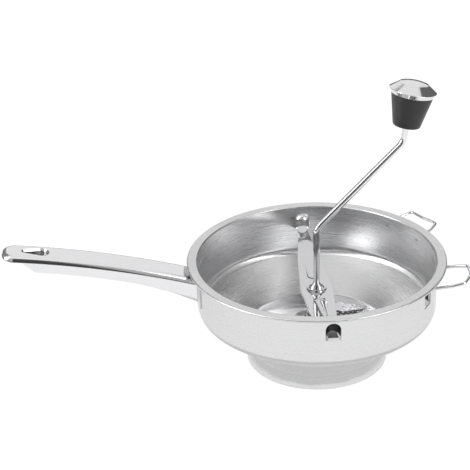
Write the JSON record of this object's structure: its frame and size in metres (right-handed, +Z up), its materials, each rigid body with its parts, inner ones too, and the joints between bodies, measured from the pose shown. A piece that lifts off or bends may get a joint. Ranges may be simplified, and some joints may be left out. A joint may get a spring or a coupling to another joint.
{
  "type": "hand cranked food mill",
  "caption": "Round steel food mill with a long hollow handle, a crossbar, a sprung cranked blade over a perforated disc, and wire hooks for a pot rim.",
  "frame": {"origin": "centre of the foot ring, on the surface the mill stands on", "axes": "+Z up along the crank shaft; the handle runs along -X; the crossbar lies along Y"},
  "size_m": [0.425, 0.24, 0.2604],
  "materials": {
    "satin_steel": "satin, brushed round the bowl",
    "polished_steel": "polished",
    "black_grip": "satin black"
  },
  "bodies": {
    "mill": {"bowl": "satin_steel", "sieve_disc": "satin_steel", "crossbar": "polished_steel", "shaft_bushing": "satin_steel", "spring_seat": "satin_steel", "pressure_spring": "polished_steel", "handle_shell": "polished_steel", "handle_keel": "polished_steel", "handle_bracket": "satin_steel", "pot_hook_side": "polished_steel", "pot_hook_back": "polished_steel", "hook_welds": "satin_steel"},
    "lift_washer": {"thrust_washer": "satin_steel"},
    "crank": {"crank_rod": "polished_steel", "blade_hub": "satin_steel", "blade_plate": "polished_steel", "drive_pin": "satin_steel", "knob_clip": "satin_steel"},
    "knob": {"knob_grip": "black_grip", "knob_cap": "polished_steel"}
  },
  "joints": [
    {"name": "blade_lift", "type": "slide", "parent": "mill", "child": "lift_washer", "axis": [0, 0, 1], "range_m": [0, 0.003], "stiffness_N_per_m": 2000, "springref_m": -0.008, "deforming": ["pressure_spring"]},
    {"name": "crank_turn", "type": "hinge", "parent": "lift_washer", "child": "crank", "pos_m": [0, 0, 0.06], "axis": [0, 0, 1], "continuous": true},
    {"name": "knob_spin", "type": "hinge", "parent": "crank", "child": "knob", "pos_m": [0.08601, 0.02695, 0.21754], "axis": [0.1706, 0.0535, 0.9839], "continuous": true}
  ]
}
